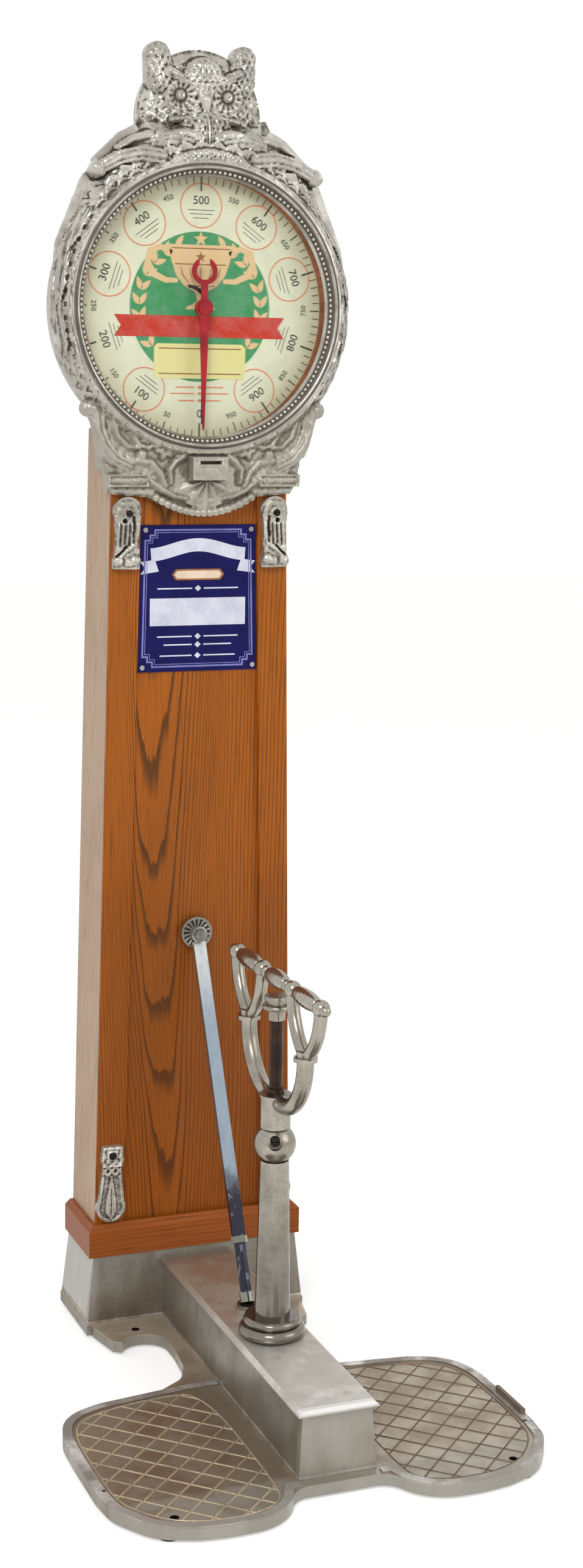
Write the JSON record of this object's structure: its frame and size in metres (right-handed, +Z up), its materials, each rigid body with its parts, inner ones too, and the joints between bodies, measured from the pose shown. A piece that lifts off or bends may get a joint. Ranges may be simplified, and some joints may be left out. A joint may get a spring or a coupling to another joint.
{
  "type": "strength tester machine",
  "caption": "Coin-operated lifting strength tester: oak cabinet on a cast base with foot plates, a lift handle on a post and a round dial in a cast head.",
  "frame": {"origin": "centre of the footprint on the floor", "axes": "+Z up, the machine faces -Y, +X to the viewer's right"},
  "size_m": [0.624, 0.7879, 1.8855],
  "materials": {
    "cast_base": "dull cast aluminium with a sand-cast skin",
    "foot_rubber": "matt rubber",
    "edge_rubber": "worn brown rubber",
    "nickel": "polished nickel",
    "silver_casting": "nickel-plated relief casting, dull in its hollows",
    "bezel_metal": "polished nickel with a roped edge",
    "shell_metal": "smooth grey paint",
    "dark_screw": "blackened steel",
    "bright_screw": "bright steel",
    "work_steel": "plain machined steel",
    "spring_steel": "oiled spring steel",
    "rod_steel": "dark brown japanned steel",
    "oak_front": "varnished amber oak",
    "oak_side": "pale varnished oak",
    "oak_skirt": "reddish varnished oak",
    "inner_wood": "plain board",
    "sign_enamel": "deep blue vitreous enamel",
    "brace_paint": "blue-grey paint",
    "glass": "clear flat glass",
    "ring_brown": "orange-brown enamel paint",
    "dial_face": "printed cream-green dial",
    "brass": "turned brass",
    "tin": "tinned sheet",
    "pointer_red": "dark red paint",
    "hand_black": "black paint"
  },
  "bodies": {
    "root": {"base_casting": "cast_base", "floor_pads": "foot_rubber", "edge_pad": "edge_rubber", "post_ring": "nickel", "post_column": "nickel", "post_ball": "nickel", "ball_screw": "dark_screw", "lever_bracket": "work_steel", "lever_pin": "work_steel", "left_side": "oak_side", "right_side": "oak_side", "left_stile": "oak_front", "right_stile": "oak_front", "front_panel": "oak_front", "skirt_boards": "oak_skirt", "cabinet_floor": "inner_wood", "back_frame": "oak_side", "corbel_left": "silver_casting", "corbel_right": "silver_casting", "drop_ornament_left": "silver_casting", "drop_ornament_right": "silver_casting", "ornament_screws": "dark_screw", "enamel_plate": "sign_enamel", "plate_screws": "bright_screw", "brace_rosette": "silver_casting", "brace_bolt": "work_steel", "brace_bar": "brace_paint", "brace_nut": "bright_screw", "brace_foot": "bright_screw", "head_casting": "silver_casting", "rear_shell": "shell_metal", "bezel_ring": "bezel_metal", "dial_glass": "glass", "dial_ring": "ring_brown", "dial_plate": "dial_face", "dial_bush": "brass", "movement_bracket": "work_steel", "spring_anchor": "work_steel", "scale_springs": "spring_steel", "coin_chute": "tin", "coin_box": "tin", "hinge_leaves": "brass"},
    "lift": {"lift_rod": "rod_steel", "rod_cap": "nickel", "rod_clevis": "work_steel"},
    "handle": {"yoke": "nickel", "fork_front": "nickel", "fork_rear": "nickel", "crossbar": "nickel"},
    "lever": {"lever_arm": "work_steel"},
    "pull": {"pull_rod": "work_steel", "crosshead": "work_steel", "rack": "brass"},
    "pointer": {"spindle": "work_steel", "pinion": "brass", "main_pointer": "pointer_red"},
    "hand": {"last_lift_hand": "hand_black"},
    "door": {"back_door": "oak_side"},
    "lock": {"door_lock": "brass"},
    "trip": {"coin_trip": "brass"}
  },
  "joints": [
    {"name": "handle_lift", "type": "slide", "parent": "root", "child": "lift", "axis": [0, 0, 1], "range_m": [0, 0.0377], "stiffness_N_per_m": 8000, "springref_m": -0.004},
    {"name": "handle_swivel", "type": "hinge", "parent": "lift", "child": "handle", "pos_m": [0, -0.069, 0.4163], "axis": [0, 0, 1], "continuous": true},
    {"name": "lever_pivot", "type": "hinge", "parent": "root", "child": "lever", "pos_m": [0, 0.06033, 0.058], "axis": [-1, 0, 0], "range_deg": [0, 16.6]},
    {"name": "pull_slide", "type": "slide", "parent": "root", "child": "pull", "axis": [0, 0, -1], "range_m": [0, 0.07541], "deforming": ["scale_springs"]},
    {"name": "pointer_spin", "type": "hinge", "parent": "root", "child": "pointer", "pos_m": [0, 0.319, 1.523], "axis": [0, 1, 0], "range_deg": [0, 360.1]},
    {"name": "last_lift_turn", "type": "hinge", "parent": "root", "child": "hand", "pos_m": [0, 0.263, 1.523], "axis": [0, 1, 0], "continuous": true},
    {"name": "trip_swing", "type": "hinge", "parent": "root", "child": "trip", "pos_m": [-0.062, 0.306, 0.406], "axis": [1, 0, 0], "range_deg": [0, 20], "stiffness_Nm_per_rad": 0.05, "springref_deg": -8.59},
    {"name": "door_swing", "type": "hinge", "parent": "root", "child": "door", "pos_m": [0.1105, 0.3905, 0.6865], "axis": [0, 0, -1], "range_deg": [0, 110]},
    {"name": "lock_turn", "type": "hinge", "parent": "door", "child": "lock", "pos_m": [-0.095, 0.387, 0.6865], "axis": [0, -1, 0], "range_deg": [0, 90]}
  ],
  "couplings": [
    {"joint": "lever_pivot", "follows": "handle_lift", "rad_per_m": 7.6779},
    {"joint": "pull_slide", "follows": "handle_lift", "ratio": 2},
    {"joint": "pointer_spin", "follows": "handle_lift", "rad_per_m": 166.67}
  ]
}
